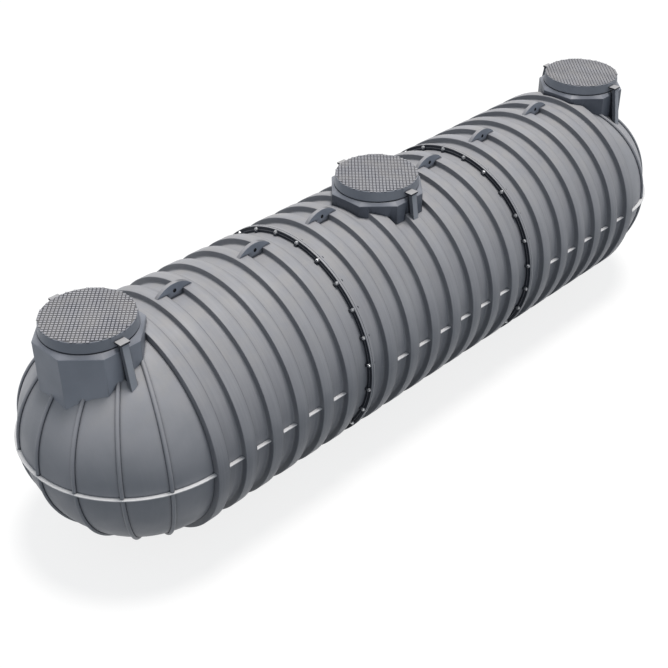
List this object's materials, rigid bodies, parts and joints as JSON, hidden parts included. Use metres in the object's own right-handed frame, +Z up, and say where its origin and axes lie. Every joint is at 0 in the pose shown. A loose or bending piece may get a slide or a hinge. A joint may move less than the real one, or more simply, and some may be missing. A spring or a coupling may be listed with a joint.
{
  "type": "underground water tank",
  "caption": "Long ribbed cylindrical buried water tank with domed ends, bolted module joints, octagonal manhole necks with studded covers and lifting lugs.",
  "frame": {"origin": "on the ground plane under the middle of the tank, at the bottom centre of the bounding box", "axes": "+X along the tank to its far end, +Z up, -Y the side seen in the picture"},
  "size_m": [8.6742, 2.3, 2.468],
  "materials": {
    "shell": "moulded matt grey-blue plastic",
    "flange": "moulded matt grey plastic",
    "gasket": "black seal",
    "neck": "moulded matt dark grey plastic",
    "cover": "moulded matt dark grey plastic with a studded top",
    "bracket": "moulded matt dark grey plastic",
    "lug": "moulded matt grey plastic"
  },
  "bodies": {
    "root": {"near_barrel_upper": "shell", "near_barrel_lower": "shell", "middle_barrel_upper": "shell", "middle_barrel_lower": "shell", "far_barrel_upper": "shell", "far_barrel_lower": "shell", "near_dome_upper": "shell", "near_dome_lower": "shell", "near_end_flange": "flange", "near_middle_flange": "flange", "near_joint_gasket": "gasket", "far_dome_upper": "shell", "far_dome_lower": "shell", "far_end_flange": "flange", "far_middle_flange": "flange", "far_joint_gasket": "gasket", "near_neck": "neck", "near_cover": "cover", "near_bracket_front": "bracket", "near_bracket_back": "bracket", "middle_neck": "neck", "middle_cover": "cover", "middle_bracket_front": "bracket", "middle_bracket_back": "bracket", "far_neck": "neck", "far_cover": "cover", "far_bracket_front": "bracket", "far_bracket_back": "bracket", "near_lug_1": "lug", "near_lug_2": "lug", "middle_lug_1": "lug", "middle_lug_2": "lug", "far_lug_1": "lug", "far_lug_2": "lug"}
  },
  "joints": []
}
